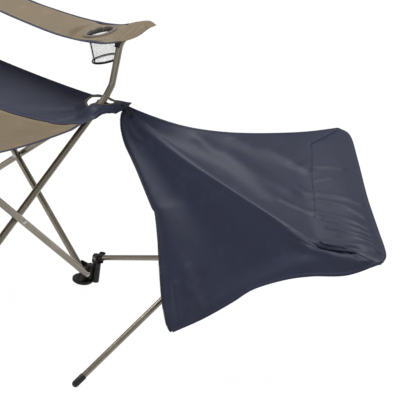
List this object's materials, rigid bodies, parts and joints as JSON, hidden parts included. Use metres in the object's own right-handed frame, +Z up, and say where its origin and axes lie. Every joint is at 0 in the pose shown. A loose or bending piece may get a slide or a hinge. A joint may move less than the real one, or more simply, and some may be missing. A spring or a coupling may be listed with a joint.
{
  "type": "folding camping chair",
  "caption": "Folding camping chair with a crossed tube frame, slung fabric seat, back and arms, mesh cup holders and a swing-out footrest.",
  "frame": {"origin": "floor level, midway between the four corner posts of the open frame", "axes": "+Z up, -Y towards the front of the seat, +X towards the sitter's left"},
  "size_m": [0.9572, 1.4417, 0.9301],
  "materials": {
    "foot_front_left": "moulded black",
    "leg_front_outer": "satin pewter lacquer",
    "cap_arm_right": "moulded black",
    "rivet_cross_front": "bright rivet",
    "leg_front_inner": "satin pewter lacquer",
    "cap_arm_left": "moulded black",
    "foot_front_right": "moulded black",
    "hub_front_left": "moulded black",
    "cup_left": "open mesh",
    "cup_ring_left": "moulded grey-brown",
    "seat_centre": "woven",
    "seat_side_left": "woven",
    "seat_side_right": "woven",
    "seat_binding": "woven",
    "hub_front_right": "moulded black",
    "cup_right": "open mesh",
    "cup_ring_right": "moulded grey-brown",
    "leg_left_inner": "satin pewter lacquer",
    "rivet_cross_left": "bright rivet",
    "leg_left_outer": "satin pewter lacquer",
    "foot_rear_left": "moulded black",
    "hub_rear_left": "moulded black",
    "post_back_left": "satin pewter lacquer",
    "cap_back_left": "moulded black",
    "back_sleeve_left": "woven",
    "back_centre": "woven",
    "back_side_left": "woven",
    "back_side_right": "woven",
    "back_binding": "woven",
    "arm_left": "woven",
    "arm_binding_left": "woven",
    "leg_right_outer": "satin pewter lacquer",
    "rivet_cross_right": "bright rivet",
    "leg_right_inner": "satin pewter lacquer",
    "foot_rear_right": "moulded black",
    "hub_rear_right": "moulded black",
    "post_back_right": "satin pewter lacquer",
    "cap_back_right": "moulded black",
    "back_sleeve_right": "woven",
    "arm_right": "woven",
    "arm_binding_right": "woven",
    "leg_rear_inner": "satin pewter lacquer",
    "rivet_cross_rear": "bright rivet",
    "leg_rear_outer": "satin pewter lacquer",
    "clip_left": "moulded black",
    "pole_left": "satin pewter lacquer",
    "cap_pole_left_low": "moulded black",
    "cap_pole_left_tip": "moulded black",
    "rivet_poles": "bright rivet",
    "footrest_panel": "woven",
    "footrest_binding": "woven",
    "footrest_zip": "black tape",
    "footrest_tab": "black tape",
    "pole_right": "satin pewter lacquer",
    "cap_pole_right_low": "moulded black",
    "cap_pole_right_tip": "moulded black",
    "clip_right": "moulded black"
  },
  "bodies": {
    "foot_front_left": {"foot_front_left": "foot_front_left"},
    "leg_front_outer": {"leg_front_outer": "leg_front_outer", "cap_arm_right": "cap_arm_right", "rivet_cross_front": "rivet_cross_front"},
    "leg_front_inner": {"leg_front_inner": "leg_front_inner", "cap_arm_left": "cap_arm_left"},
    "foot_front_right": {"foot_front_right": "foot_front_right"},
    "hub_front_left": {"hub_front_left": "hub_front_left", "cup_left": "cup_left", "cup_ring_left": "cup_ring_left", "seat_centre": "seat_centre", "seat_side_left": "seat_side_left", "seat_side_right": "seat_side_right", "seat_binding": "seat_binding"},
    "hub_front_right": {"hub_front_right": "hub_front_right", "cup_right": "cup_right", "cup_ring_right": "cup_ring_right"},
    "leg_left_inner": {"leg_left_inner": "leg_left_inner", "rivet_cross_left": "rivet_cross_left"},
    "leg_left_outer": {"leg_left_outer": "leg_left_outer"},
    "foot_rear_left": {"foot_rear_left": "foot_rear_left"},
    "hub_rear_left": {"hub_rear_left": "hub_rear_left", "post_back_left": "post_back_left", "cap_back_left": "cap_back_left", "back_sleeve_left": "back_sleeve_left", "back_centre": "back_centre", "back_side_left": "back_side_left", "back_side_right": "back_side_right", "back_binding": "back_binding", "arm_left": "arm_left", "arm_binding_left": "arm_binding_left"},
    "leg_right_outer": {"leg_right_outer": "leg_right_outer", "rivet_cross_right": "rivet_cross_right"},
    "leg_right_inner": {"leg_right_inner": "leg_right_inner"},
    "foot_rear_right": {"foot_rear_right": "foot_rear_right"},
    "hub_rear_right": {"hub_rear_right": "hub_rear_right", "post_back_right": "post_back_right", "cap_back_right": "cap_back_right", "back_sleeve_right": "back_sleeve_right", "arm_right": "arm_right", "arm_binding_right": "arm_binding_right"},
    "leg_rear_inner": {"leg_rear_inner": "leg_rear_inner", "rivet_cross_rear": "rivet_cross_rear"},
    "leg_rear_outer": {"leg_rear_outer": "leg_rear_outer"},
    "clip_left": {"clip_left": "clip_left"},
    "pole_left": {"pole_left": "pole_left", "cap_pole_left_low": "cap_pole_left_low", "cap_pole_left_tip": "cap_pole_left_tip", "rivet_poles": "rivet_poles", "footrest_panel": "footrest_panel", "footrest_binding": "footrest_binding", "footrest_zip": "footrest_zip", "footrest_tab": "footrest_tab"},
    "pole_right": {"pole_right": "pole_right", "cap_pole_right_low": "cap_pole_right_low", "cap_pole_right_tip": "cap_pole_right_tip"},
    "clip_right": {"clip_right": "clip_right"}
  },
  "joints": [
    {"name": "fold", "type": "hinge", "parent": "foot_front_left", "child": "leg_front_outer", "pos_m": [0.24, -0.278, 0.0353], "axis": [0, 1, 0], "range_deg": [0, 39], "deforming": ["seat_centre", "seat_side_left", "seat_side_right", "seat_binding", "back_centre", "back_side_left", "back_side_right", "back_binding", "arm_left", "arm_right", "arm_binding_left", "arm_binding_right"]},
    {"name": "cross_front", "type": "hinge", "parent": "leg_front_outer", "child": "leg_front_inner", "pos_m": [0, -0.2685, 0.2475], "axis": [0, 1, 0], "range_deg": [-78.01, 0]},
    {"name": "foot_front_right_pivot", "type": "hinge", "parent": "leg_front_inner", "child": "foot_front_right", "pos_m": [-0.24, -0.259, 0.0353], "axis": [0, 1, 0], "range_deg": [0, 39.01]},
    {"name": "hub_front_left_pivot", "type": "hinge", "parent": "leg_front_inner", "child": "hub_front_left", "pos_m": [0.24, -0.259, 0.4597], "axis": [0, 1, 0], "range_deg": [0, 39.01]},
    {"name": "hub_front_right_pivot", "type": "hinge", "parent": "leg_front_outer", "child": "hub_front_right", "pos_m": [-0.24, -0.278, 0.4597], "axis": [0, 1, 0], "range_deg": [-39.01, 0]},
    {"name": "foot_left_pivot", "type": "hinge", "parent": "foot_front_left", "child": "leg_left_inner", "pos_m": [0.259, -0.24, 0.0353], "axis": [1, 0, 0], "range_deg": [0, 39.01]},
    {"name": "cross_left", "type": "hinge", "parent": "leg_left_inner", "child": "leg_left_outer", "pos_m": [0.2685, 0, 0.2475], "axis": [1, 0, 0], "range_deg": [-78.01, 0]},
    {"name": "foot_rear_left_pivot", "type": "hinge", "parent": "leg_left_outer", "child": "foot_rear_left", "pos_m": [0.278, 0.24, 0.0353], "axis": [1, 0, 0], "range_deg": [0, 39.01]},
    {"name": "hub_rear_left_pivot", "type": "hinge", "parent": "leg_left_inner", "child": "hub_rear_left", "pos_m": [0.259, 0.24, 0.4597], "axis": [1, 0, 0], "range_deg": [-39.01, 0]},
    {"name": "foot_right_pivot", "type": "hinge", "parent": "foot_front_right", "child": "leg_right_outer", "pos_m": [-0.278, -0.24, 0.0353], "axis": [1, 0, 0], "range_deg": [0, 39.01]},
    {"name": "cross_right", "type": "hinge", "parent": "leg_right_outer", "child": "leg_right_inner", "pos_m": [-0.2685, 0, 0.2475], "axis": [1, 0, 0], "range_deg": [-78.01, 0]},
    {"name": "foot_rear_right_pivot", "type": "hinge", "parent": "leg_right_inner", "child": "foot_rear_right", "pos_m": [-0.259, 0.24, 0.0353], "axis": [1, 0, 0], "range_deg": [0, 39.01]},
    {"name": "hub_rear_right_pivot", "type": "hinge", "parent": "leg_right_outer", "child": "hub_rear_right", "pos_m": [-0.278, 0.24, 0.4597], "axis": [1, 0, 0], "range_deg": [-39.01, 0]},
    {"name": "foot_rear_pivot", "type": "hinge", "parent": "foot_rear_left", "child": "leg_rear_inner", "pos_m": [0.24, 0.259, 0.0353], "axis": [0, 1, 0], "range_deg": [0, 39.01]},
    {"name": "cross_rear", "type": "hinge", "parent": "leg_rear_inner", "child": "leg_rear_outer", "pos_m": [0, 0.2685, 0.2475], "axis": [0, 1, 0], "range_deg": [-78.01, 0]},
    {"name": "footrest_swing", "type": "hinge", "parent": "foot_front_left", "child": "clip_left", "pos_m": [0.273, -0.284, 0.07], "axis": [0, 0, -1], "range_deg": [-25, 30]},
    {"name": "footrest_lift", "type": "hinge", "parent": "clip_left", "child": "pole_left", "pos_m": [0.273, -0.284, 0.07], "axis": [-0.9809, 0.1944, 0], "range_deg": [0, 20], "deforming": ["footrest_tab"]},
    {"name": "footrest_scissor", "type": "hinge", "parent": "pole_left", "child": "pole_right", "pos_m": [0.21087, -0.6151, 0.2198], "axis": [0.4284, -0.4541, -0.7812], "range_deg": [0, 60], "deforming": ["footrest_panel", "footrest_binding", "footrest_zip"]},
    {"name": "clip_right_turn", "type": "hinge", "parent": "foot_front_right", "child": "clip_right", "pos_m": [-0.273, -0.284, 0.07], "axis": [0, 0, 1], "range_deg": [-40, 40]}
  ],
  "couplings": [
    {"joint": "cross_front", "follows": "fold", "ratio": -2},
    {"joint": "foot_front_right_pivot", "follows": "fold", "ratio": 1},
    {"joint": "hub_front_left_pivot", "follows": "fold", "ratio": 1},
    {"joint": "hub_front_right_pivot", "follows": "fold", "ratio": -1},
    {"joint": "foot_left_pivot", "follows": "fold", "ratio": 1},
    {"joint": "cross_left", "follows": "fold", "ratio": -2},
    {"joint": "foot_rear_left_pivot", "follows": "fold", "ratio": 1},
    {"joint": "hub_rear_left_pivot", "follows": "fold", "ratio": -1},
    {"joint": "foot_right_pivot", "follows": "fold", "ratio": 1},
    {"joint": "cross_right", "follows": "fold", "ratio": -2},
    {"joint": "foot_rear_right_pivot", "follows": "fold", "ratio": 1},
    {"joint": "hub_rear_right_pivot", "follows": "fold", "ratio": -1},
    {"joint": "foot_rear_pivot", "follows": "fold", "ratio": 1},
    {"joint": "cross_rear", "follows": "fold", "ratio": -2}
  ]
}
